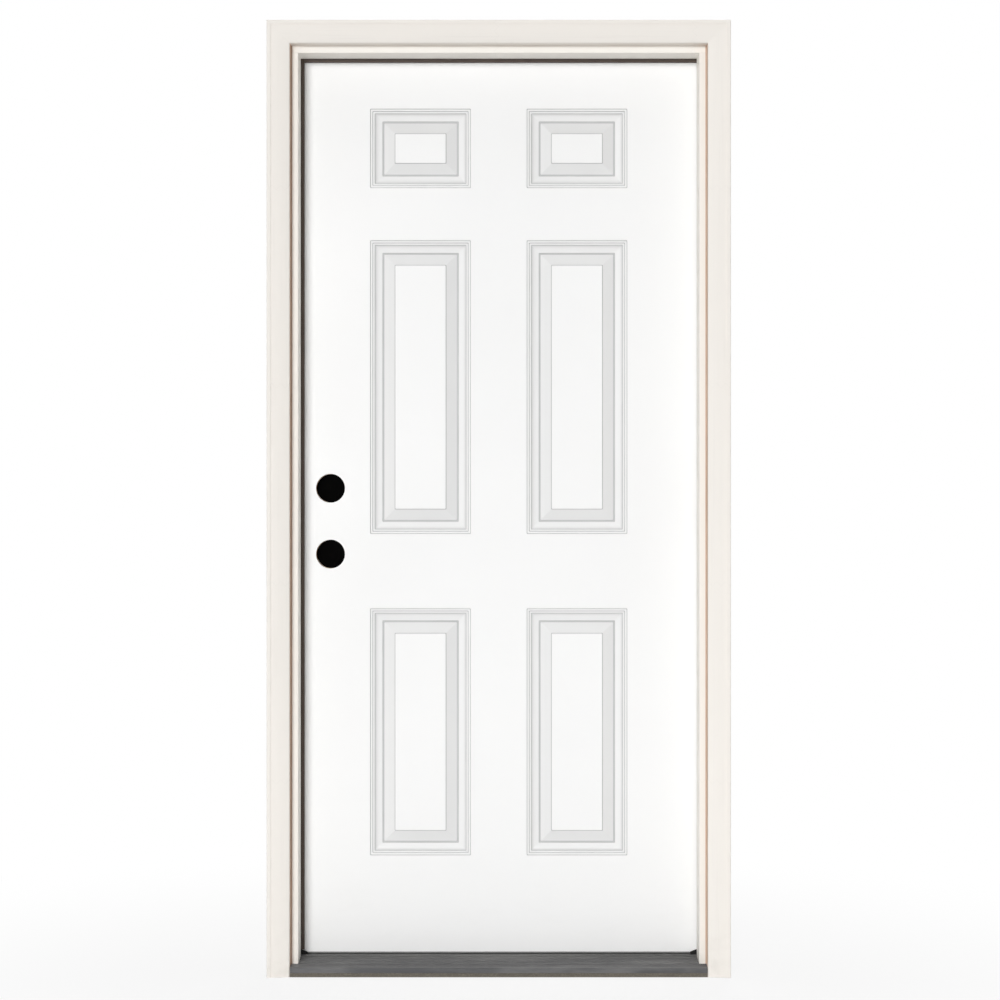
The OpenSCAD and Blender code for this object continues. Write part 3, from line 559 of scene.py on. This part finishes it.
def ring(half_width, half_height, radius, steps=4):
    """Corner points of a rectangle with round corners, anticlockwise from its lower right corner."""
    points = []
    for corner, (sx, sz) in enumerate(((1, -1), (1, 1), (-1, 1), (-1, -1))):
        for i in range(steps + 1):
            angle = math.pi / 2 * (corner - 1 + i / steps)
            x = sx * (half_width - radius) + radius * math.cos(angle)
            points.append(Vector((x, sz * (half_height - radius) + radius * math.sin(angle))))
    return points


def panel_places(sizes):
    """Centre and half sizes of each panel, from the slab's centre line and foot."""
    width = (SKIN_HIGH.x - SKIN_LOW.x - sizes.mullion) / 2 - sizes.side
    height = SKIN_HIGH.z - SKIN_LOW.z
    top = height - sizes.top_face - sizes.top_panel
    middle = top - sizes.frieze_face - sizes.middle_panel
    rows = [(sizes.bottom_face, middle - sizes.lock_face - sizes.bottom_face)]
    rows += [(middle, sizes.middle_panel), (top, sizes.top_panel)]
    return [
        (side * (sizes.mullion + width) / 2, foot + tall / 2, width / 2, tall / 2)
        for side in (-1, 1)
        for foot, tall in rows
    ]


def inside(point, loop):
    """Whether a point of the face lies inside a loop."""
    hit = False
    for a, b in zip(loop, loop[1:] + loop[:1]):
        if (a.y > point.y) != (b.y > point.y):
            hit ^= point.x < a.x + (b.x - a.x) * (point.y - a.y) / (b.y - a.y)
    return hit


def skin_mesh(name, sizes, mortises):
    """One pressed skin as x, depth and height, notched at the mortises.

    It has a flat face, six panels, two bores, and a folded edge on each side.
    """
    merge, tolerance = 1e-6, 1e-7
    half = (SKIN_HIGH.x - SKIN_LOW.x) / 2
    height = SKIN_HIGH.z - SKIN_LOW.z
    face_half = half - sizes.fold
    notch_x = half - sizes.notch
    cuts = [z for mortise in mortises for z in mortise]
    stations = [0.0, *cuts, height]
    outline = [Vector((-face_half, height)), Vector((-face_half, 0.0)), Vector((face_half, 0.0))]
    for low, high in mortises:
        outline += [Vector((face_half, low)), Vector((notch_x, low))]
        outline += [Vector((notch_x, high)), Vector((face_half, high))]
    outline.append(Vector((face_half, height)))

    line = press_line(sizes)
    tones = painted_shade_tones(line, sizes)
    shape = bmesh.new()
    # Each point keeps how much painted shade its part of the pressing gets
    tone = shape.verts.layers.float.new("painted_shade_tone")

    def point(x, depth, z, value=0.0):
        vert = shape.verts.new((x, depth, z))
        vert[tone] = value
        return vert

    windows = []
    for x, z, half_w, half_h in panel_places(sizes):
        centre = Vector((x, z))
        loops = []
        for spot, value in zip(line, tones):
            places = [p + centre for p in ring(half_w - spot.x, half_h - spot.x, sizes.corner_radius)]
            loops.append([point(p.x, spot.y, p.y, value) for p in places])
        for outer, inner in zip(loops, loops[1:]):
            count = len(outer)
            for k in range(count):
                n = (k + 1) % count
                shape.faces.new((outer[k], outer[n], inner[n], inner[k]))
        shape.faces.new(loops[-1])
        windows.append([p + centre for p in ring(half_w, half_h, sizes.corner_radius)])

    bores = []
    segments = 64
    turn = [2 * math.pi * i / segments for i in range(segments)]
    for z in (sizes.lock_height, sizes.lock_height + sizes.bore_pitch):
        centre = Vector((sizes.backset - half, z))
        bores.append([centre + Vector((math.cos(a), math.sin(a))) * sizes.bore / 2 for a in turn])

    coords, edges = [], []
    for loop in [outline, *windows, *bores]:
        first = len(coords)
        coords += loop
        edges += [(first + i, first + (i + 1) % len(loop)) for i in range(len(loop))]
    flat_points, _, triangles, *_ = delaunay_2d_cdt(coords, edges, [], 1, tolerance)
    corners = [point(p.x, 0.0, p.y) for p in flat_points]
    for triangle in triangles:
        middle = sum((flat_points[i] for i in triangle), Vector((0, 0))) / 3
        if inside(middle, outline) and not any(inside(middle, hole) for hole in windows + bores):
            shape.faces.new([corners[i] for i in triangle])

    fold_steps = 6
    for side in (-1, 1):
        spans = list(zip(stations[0::2], stations[1::2])) if side > 0 else [(0.0, height)]
        section = [(face_half, 0.0)]
        for i in range(1, fold_steps + 1):
            angle = math.pi / 2 * i / fold_steps
            bend = (face_half + sizes.fold * math.sin(angle), sizes.fold * (1 - math.cos(angle)))
            section.append(bend)
        section.append((half, sizes.back_fold))
        for low, high in spans:
            rows = [[point(side * x, depth, z) for z in (low, high)] for x, depth in section]
            for a, b in zip(rows, rows[1:]):
                shape.faces.new((a[0], b[0], b[1], a[1]))

    bmesh.ops.remove_doubles(shape, verts=shape.verts, dist=merge)
    bmesh.ops.recalc_face_normals(shape, faces=shape.faces)
    if max(shape.faces, key=lambda f: f.calc_area()).normal.y > 0:
        bmesh.ops.reverse_faces(shape, faces=shape.faces)
    for face in shape.faces:
        face.smooth = True
    mesh = bpy.data.meshes.new(name)
    shape.to_mesh(mesh)
    shape.free()
    return mesh


def mortise_heights():
    """Heights of the hinge leaves' ends above the slab's foot, with the clearance of their mortises."""
    play = 0.1 * MM
    heights = []
    for name in HINGE_NAMES:
        low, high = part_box(name + "_door_leaf")
        heights.append((low.z - play - SKIN_LOW.z, high.z + play - SKIN_LOW.z))
    return heights


class DOOR_OT_skins(bpy.types.Operator):
    """Press the outer and inner steel skins"""

    bl_idname = "door.skins"
    bl_label = "Pressed skins"

    def execute(self, context):
        sizes = context.scene.door_sizes
        material = steel_primer(context.scene.door_finishes)
        plans = (
            ("exterior_skin", [], SKIN_LOW.y, 1),
            ("interior_skin", mortise_heights(), BACK_Y, -1),
        )
        for node, mortises, plane, inwards in plans:
            mesh = skin_mesh(node + "_pressed", sizes, mortises)
            place = Matrix.Translation((0, plane, SKIN_LOW.z)) @ Matrix.Diagonal((1, inwards, 1, 1))
            mesh.transform(place)
            if inwards < 0:
                mesh.flip_normals()
            mesh.materials.append(material)
            obj = mesh_object(node + "_pressed", mesh)
            wall = obj.modifiers.new("sheet", "SOLIDIFY")
            wall.thickness = sizes.sheet
            wall.offset = -1
            wall.use_even_offset = True
            even_normals(obj)
            settle_modifiers(obj)
            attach(obj, "door")
            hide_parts(node)
        return {"FINISHED"}


class DOOR_OT_slab(bpy.types.Operator):
    """Finish the stiles, rails, lock block and core inside the slab"""

    bl_idname = "door.slab"
    bl_label = "Slab timber and core"

    def execute(self, context):
        finishes = context.scene.door_finishes
        edge = context.scene.door_sizes.timber_edge
        upright = bare_pine(finishes, "upright_pine", along_x=False)
        level = bare_pine(finishes, "level_pine", along_x=True)
        for node, material in (("lock_stile", upright), ("hinge_stile", upright), ("top_rail", level)):
            eased_copy(node, edge / 2, material)
        paint_node("lock_block", upright)
        eased_copy("bottom_rail", edge / 2, sill_composite(finishes))
        foam = cell_foam("core_foam", finishes.foam, scale=700.0, depth=0.3 * MM)
        paint_node("foam_core", foam)
        return {"FINISHED"}


class DOOR_OT_frame(bpy.types.Operator):
    """Finish the jambs and the casing"""

    bl_idname = "door.frame"
    bl_label = "Jambs and casing"

    def execute(self, context):
        finishes = context.scene.door_finishes
        edge = context.scene.door_sizes.timber_edge
        inner_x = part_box("hinge_casing")[0].x
        inner_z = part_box("head_casing")[0].z
        casing, jamb = finishes.primer, finishes.jamb
        # The brown seams beside the casing's inner edge, on the casing's return and on the jambs' front
        # edges, are partly bare timber and partly painted shadow of the casing
        casing_fade, jamb_fade = (4.2 * MM, 2.1 * MM), (-3.4 * MM, -2.2 * MM)
        side_seam, head_seam = ([inner + fade for fade in casing_fade] for inner in (inner_x, inner_z))
        post_seam, lintel_seam = ([inner + fade for fade in jamb_fade] for inner in (inner_x, inner_z))
        behind_front = (-26 * MM, -22 * MM)
        front_edge = (2.5 * MM, 0.8 * MM)
        side_share, post_share, level_share = 0.9, 0.8, 0.1
        side = timber_primer(finishes, "side_primer", casing, False, side_seam, behind_front, side_share)
        head = timber_primer(finishes, "head_primer", casing, True, head_seam, behind_front, level_share)
        post = timber_primer(finishes, "post_primer", jamb, False, post_seam, front_edge, post_share)
        lintel = timber_primer(finishes, "lintel_primer", jamb, True, lintel_seam, front_edge, level_share)
        for node, material in (
            ("lock_casing", side),
            ("hinge_casing", side),
            ("head_casing", head),
            ("lock_jamb", post),
            ("hinge_jamb", post),
            ("head_jamb", lintel),
        ):
            eased_copy(node, edge, material)
        return {"FINISHED"}


class DOOR_OT_seals(bpy.types.Operator):
    """Finish the weatherstrips, corner pads and door sweep"""

    bl_idname = "door.seals"
    bl_label = "Seals"

    def execute(self, context):
        finishes = context.scene.door_finishes
        edge = context.scene.door_sizes.seal_edge
        upright = vinyl("upright_seal", finishes.seal, along_x=False, streak=0.18, roughness=0.42)
        level = vinyl("level_seal", finishes.seal, along_x=True, streak=0.18, roughness=0.42)
        foam = cell_foam("pad_foam", finishes.pad, scale=1100.0, depth=0.2 * MM)
        sweep = vinyl("sweep_vinyl", finishes.sweep, along_x=True, streak=0.25, roughness=0.4)
        for node, material, slot in (
            ("lock_weatherstrip", upright, "brown_seal"),
            ("hinge_weatherstrip", upright, "brown_seal"),
            ("head_weatherstrip", level, "brown_seal"),
            ("lock_corner_pad", foam, "black_foam"),
            ("hinge_corner_pad", foam, "black_foam"),
            ("door_sweep", sweep, "grey_seal"),
        ):
            eased_copy(node, edge, material)
        return {"FINISHED"}


class DOOR_OT_sill(bpy.types.Operator):
    """Finish the sill's base, its ribbed deck and the threshold cap"""

    bl_idname = "door.sill"
    bl_label = "Sill and threshold"

    def execute(self, context):
        finishes = context.scene.door_finishes
        edge = context.scene.door_sizes.metal_edge
        eased_copy("sill_base", edge, sill_composite(finishes))
        eased_copy("sill_deck", edge, deck_metal(finishes))
        eased_copy("threshold_cap", edge, grained_cap(finishes))
        return {"FINISHED"}


class DOOR_OT_hinges(bpy.types.Operator):
    """Finish the hinge leaves and pins"""

    bl_idname = "door.hinges"
    bl_label = "Hinges"

    def execute(self, context):
        finishes = context.scene.door_finishes
        edge = context.scene.door_sizes.metal_edge
        brass = plating("hinge_brass", finishes.brass, brush=14, tarnish=0.3)
        for name in HINGE_NAMES:
            for part in ("_jamb_leaf", "_door_leaf", "_pin"):
                eased_copy(name + part, edge, brass)
        return {"FINISHED"}


def loose_parts(node):
    """Lowest and highest corner of each separate solid in a CAD node."""
    shape = bmesh.new()
    shape.from_mesh(frame["nodes"][node].data)
    bmesh.ops.remove_doubles(shape, verts=shape.verts, dist=WELD)
    seen, parts = set(), []
    for start in shape.verts:
        if start in seen:
            continue
        queue, spots = [start], []
        seen.add(start)
        while queue:
            vert = queue.pop()
            spots.append(vert.co.copy())
            for edge in vert.link_edges:
                other = edge.other_vert(vert)
                if other not in seen:
                    seen.add(other)
                    queue.append(other)
        low = Vector(map(min, *spots))
        parts.append((low, Vector(map(max, *spots))))
    shape.free()
    return sorted(parts, key=lambda p: (round(p[0].x, 4), round(p[0].z, 4), round(p[0].y, 4)))


SCREW_INPUTS = (
    "Head Radius",
    "Neck Radius",
    "Head Height",
    "Shank Radius",
    "Tip",
    "Recess Width",
    "Recess Depth",
)


def screw_tree():
    """Geometry nodes that put a cross-recess screw, facing +Z before its turn, at each point."""
    tree = bpy.data.node_groups.new("cross_recess_screws", "GeometryNodeTree")
    tree.interface.new_socket("Geometry", in_out="INPUT", socket_type="NodeSocketGeometry")
    for name in SCREW_INPUTS:
        tree.interface.new_socket(name, in_out="INPUT", socket_type="NodeSocketFloat")
    tree.interface.new_socket("Material", in_out="INPUT", socket_type="NodeSocketMaterial")
    tree.interface.new_socket("Geometry", in_out="OUTPUT", socket_type="NodeSocketGeometry")
    web = Web(tree)
    source = {name: web.add("NodeGroupInput", out=name) for name in ("Geometry", *SCREW_INPUTS, "Material")}

    def at_height(geometry, height):
        offset = web.add("ShaderNodeCombineXYZ", None, {"Z": height})
        return web.add("GeometryNodeTransform", None, {"Geometry": geometry, "Translation": offset})

    head_sides, shank_sides, recess_span = 40, 20, 1.15
    head_height, tip = source["Head Height"], source["Tip"]
    cone = {"Vertices": head_sides, "Depth": head_height}
    cone["Radius Top"] = source["Head Radius"]
    cone["Radius Bottom"] = source["Neck Radius"]
    head = at_height(web.add("GeometryNodeMeshCone", None, cone), head_height * -1.0)
    cylinder = {"Vertices": shank_sides, "Radius": source["Shank Radius"], "Depth": tip - head_height}
    shank = at_height(web.add("GeometryNodeMeshCylinder", None, cylinder), (tip + head_height) * -0.5)
    width, double_depth = source["Recess Width"], source["Recess Depth"] * 2.0
    reach = source["Head Radius"] * recess_span
    bars = []
    for long, short in ((reach, width), (width, reach)):
        size = web.add("ShaderNodeCombineXYZ", None, {"X": long, "Y": short, "Z": double_depth})
        bars.append(web.add("GeometryNodeMeshCube", None, {"Size": size}))
    cut = web.add("GeometryNodeMeshBoolean", {"operation": "DIFFERENCE"}, {"Mesh 1": head, "Mesh 2": bars})
    whole = web.add("GeometryNodeJoinGeometry", None, {"Geometry": [shank, cut]})
    turn = web.add("GeometryNodeInputNamedAttribute", {"data_type": "FLOAT_VECTOR"}, {"Name": "turn"})
    turned = web.add("FunctionNodeEulerToRotation", None, {"Euler": turn})
    placed = {"Points": source["Geometry"], "Instance": whole, "Rotation": turned}
    copies = web.add("GeometryNodeInstanceOnPoints", None, placed)
    real = web.add("GeometryNodeRealizeInstances", None, {0: copies})
    final = web.add("GeometryNodeSetMaterial", None, {"Geometry": real, "Material": source["Material"]})
    web.add("NodeGroupOutput", None, {0: final})
    return tree


def screws(tree, node, places, values, material):
    """Cross-recess screws that stand for a CAD node.

    A place is a head's centre and the way it faces. The values are those of SCREW_INPUTS, in metres.
    """
    sharp_angle = math.radians(35)
    mesh = bpy.data.meshes.new(node + "_driven")
    mesh.from_pydata([spot for spot, _ in places], [], [])
    turns = mesh.attributes.new("turn", "FLOAT_VECTOR", "POINT")
    golden = math.radians(137.5)
    for i, (_, facing) in enumerate(places):
        aim = facing.to_track_quat("Z", "Y").to_matrix() @ Matrix.Rotation(golden * i, 3, "Z")
        turns.data[i].vector = aim.to_euler()
    obj = mesh_object(node + "_driven", mesh)
    modifier = obj.modifiers.new("screws", "NODES")
    modifier.node_group = tree
    inputs = {s.name: s.identifier for s in tree.interface.items_tree if s.in_out == "INPUT"}
    for name, value in zip(SCREW_INPUTS, values):
        modifier[inputs[name]] = float(value)
    modifier[inputs["Material"]] = material
    settle_modifiers(obj)
    if not obj.data.polygons:
        raise RuntimeError(f"no screws came out for {node}")
    obj.data.shade_smooth()
    obj.data.set_sharp_from_angle(angle=sharp_angle)
    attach(obj, body_of_node(node))
    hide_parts(node)


class DOOR_OT_screws(bpy.types.Operator):
    """Drive the hinge, frame and adjusting screws"""

    bl_idname = "door.screws"
    bl_label = "Screws"

    def execute(self, context):
        finishes = context.scene.door_finishes
        tree = screw_tree()
        brass = plating("screw_brass", finishes.brass, brush=200, tarnish=0.35)
        zinc = plating("screw_zinc", finishes.zinc, brush=200, tarnish=0.3)
        neck, head_height, recess, recess_depth = 2.2 * MM, 2.4 * MM, 1.15 * MM, 1.3 * MM
        stem, collar_height, cross, cross_depth = 2.5 * MM, 2.8 * MM, 1.6 * MM, 1.5 * MM
        for node, material, slot in (
            ("jamb_leaf_screws", brass, "hinge_brass"),
            ("door_leaf_screws", brass, "hinge_brass"),
            ("sill_screws", zinc, "zinc_screw"),
            ("head_screws", zinc, "zinc_screw"),
        ):
            places = []
            for low, high in loose_parts(node):
                centre = (low + high) / 2
                inner = node.startswith("jamb") or (centre.x < 0 and "leaf" not in node)
                centre.x = low.x if inner else high.x
                places.append((centre, Vector((-1 if inner else 1, 0, 0))))
            # The screws of a node are alike, so the last one's size serves for all
            tip = high.x - low.x
            radius = (high.y - low.y) / 2
            values = (radius, neck, head_height, neck, tip, recess, recess_depth)
            screws(tree, node, places, values, material)
        for node in ADJUSTERS:
            low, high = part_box(node)
            centre = (low + high) / 2
            centre.z = high.z
            radius = (high.x - low.x) / 2
            values = (radius, radius, collar_height, stem, high.z - low.z, cross, cross_depth)
            screws(tree, node, [(centre, Vector((0, 0, 1)))], values, zinc)
        return {"FINISHED"}


def stage_material(name, base, lit_share):
    """Matt finish that the camera and reflections see partly as white.

    The white's share is lit_share near the object, and it rises to the whole far off.
    """
    near, far_off = 0.45, 1.9
    web = Finish(name)
    grain = web.noise(3.0)
    far = web.add("ShaderNodeVectorMath", {"operation": "LENGTH"}, {0: web.place}, out="Value")
    matt = web.add("ShaderNodeBsdfDiffuse", None, {"Color": web.mix(grain, base, shade(base, 0.99))})
    white = web.add("ShaderNodeEmission", None, {"Color": (1, 1, 1, 1), "Strength": 1.0})
    seen = web.any_ray("Camera", "Glossy", "Transmission")
    share = seen * (lit_share + (1.0 - lit_share) * far.between(near, far_off))
    whole = web.add("ShaderNodeMixShader", None, {0: share, 1: matt, 2: white})
    web.add("ShaderNodeOutputMaterial", None, {"Surface": whole})
    return web.material


def area_lamp(name, spot, target, size, watts):
    """A soft rectangular lamp aimed at a point."""
    lamp = bpy.data.lights.new(name, "AREA")
    lamp.shape = "RECTANGLE"
    lamp.size, lamp.size_y = size
    lamp.energy = watts
    obj = mesh_object(name, lamp)
    obj.location = spot
    obj.rotation_euler = (Vector(target) - Vector(spot)).to_track_quat("-Z", "Y").to_euler()


def sky_lamp(name, direction, spread, strength):
    """An even lamp from far off, whose shadows are as soft as its spread is wide."""
    lamp = bpy.data.lights.new(name, "SUN")
    lamp.angle = spread
    lamp.energy = strength
    obj = mesh_object(name, lamp)
    obj.rotation_euler = Vector(direction).to_track_quat("-Z", "Y").to_euler()


class DOOR_OT_stage(bpy.types.Operator):
    """Set the floor, the light and the camera"""

    bl_idname = "door.stage"
    bl_label = "Stage"

    def execute(self, context):
        scene = context.scene
        scene.view_settings.view_transform = "Standard"
        mesh = bpy.data.meshes.new("floor")
        reach, under = 9.0, -0.4 * MM
        corners = [(x * reach, y * reach, under) for x, y in ((-1, -1), (1, -1), (1, 1), (-1, 1))]
        mesh.from_pydata(corners, [], [(0, 1, 2, 3)])
        mesh.materials.append(stage_material("pale_floor", (0.88, 0.88, 0.88), lit_share=0.82))
        mesh_object("floor", mesh)

        sizes = scene.door_sizes
        # Painted shade: a near-black disc stands in the middle of each lock bore, so that the open bores
        # read as dark holes
        bore_shade = Finish("dark_bore_shade")
        painted_black = bore_shade.mix(bore_shade.noise(40.0), (0.002, 0.002, 0.002), (0.004, 0.004, 0.004))
        dark = bore_shade.surface(painted_black, 1.0, bore_shade.bump(bore_shade.noise(200.0), 0.1 * MM), specular=0.0)
        card_sides, card_play = 48, 0.3 * MM
        turn = [2 * math.pi * k / card_sides for k in range(card_sides)]
        radius = sizes.bore / 2 - card_play
        x = SKIN_LOW.x + sizes.backset
        y = (SKIN_LOW.y + BACK_Y) / 2
        for i in (0, 1):
            z = SKIN_LOW.z + sizes.lock_height + i * sizes.bore_pitch
            spots = [(x + radius * math.cos(a), y, z + radius * math.sin(a)) for a in turn]
            card = bpy.data.meshes.new("bore_shade_card")
            card.from_pydata(spots, [], [tuple(range(card_sides))])
            card.materials.append(dark)
            obj = mesh_object(f"bore_shade_card_{i + 1}", card)
            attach(obj, "door")

        world = bpy.data.worlds.new("studio")
        scene.world = world
        world.use_nodes = True
        web = Web(world.node_tree)
        plain = {"Color": (1, 1, 1, 1)}
        fill_strength, white_strength = 0.13, 1.0
        fill = web.add("ShaderNodeBackground", None, plain | {"Strength": fill_strength})
        white = web.add("ShaderNodeBackground", None, plain | {"Strength": white_strength})
        seen = web.any_ray("Camera", "Glossy", "Transmission")
        sky = web.add("ShaderNodeMixShader", None, {0: seen, 1: fill, 2: white})
        web.add("ShaderNodeOutputWorld", None, {"Surface": sky})

        sky_lamp("key", direction=(0.22, 1.0, -0.12), spread=0.34, strength=1.9)
        sky_lamp("top_fill", direction=(0.0, 0.12, -1.0), spread=0.9, strength=1.0)
        behind, middle = (1.2, 4.8, 1.8), (0.0, 0.1, 1.0)
        area_lamp("back_fill", spot=behind, target=middle, size=(2.4, 2.0), watts=138)

        camera = bpy.data.cameras.new("camera")
        camera.lens = 81.68
        camera.sensor_width = 36.0
        camera.shift_x = 0.00125
        camera.shift_y = 0.0105
        obj = mesh_object("camera", camera)
        distance, eye_height = 5.0, 1.03
        obj.location = (0.0, cad_low.y - distance, eye_height)
        obj.rotation_euler = (math.pi / 2, 0, 0)
        scene.camera = obj
        return {"FINISHED"}


class DOOR_PT_sidebar(bpy.types.Panel):
    """The door's operators and sizes"""

    bl_label = "Entry door"
    bl_idname = "DOOR_PT_sidebar"
    bl_space_type = "VIEW_3D"
    bl_region_type = "UI"
    bl_category = "Door"

    def draw(self, context):
        for operator in OPERATORS:
            self.layout.operator(operator.bl_idname)
        for group in (context.scene.door_sizes, context.scene.door_finishes):
            column = self.layout.column()
            for name in group.__annotations__:
                column.prop(group, name)


OPERATORS = (
    DOOR_OT_skins,
    DOOR_OT_slab,
    DOOR_OT_frame,
    DOOR_OT_seals,
    DOOR_OT_sill,
    DOOR_OT_hinges,
    DOOR_OT_screws,
    DOOR_OT_stage,
)
CLASSES = (DoorSizes, DoorFinishes, *OPERATORS, DOOR_PT_sidebar)


def register():
    """Registers the classes and puts the property groups on the scene."""
    for item in CLASSES:
        bpy.utils.register_class(item)
    bpy.types.Scene.door_sizes = PointerProperty(type=DoorSizes)
    bpy.types.Scene.door_finishes = PointerProperty(type=DoorFinishes)


def unregister():
    """Takes the property groups and classes away again."""
    del bpy.types.Scene.door_finishes
    del bpy.types.Scene.door_sizes
    for item in reversed(CLASSES):
        bpy.utils.unregister_class(item)


def main():
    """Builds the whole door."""
    register()
    bpy.ops.door.skins()
    bpy.ops.door.slab()
    bpy.ops.door.frame()
    bpy.ops.door.seals()
    bpy.ops.door.sill()
    bpy.ops.door.hinges()
    bpy.ops.door.screws()
    bpy.ops.door.stage()


if __name__ == "__main__":
    main()
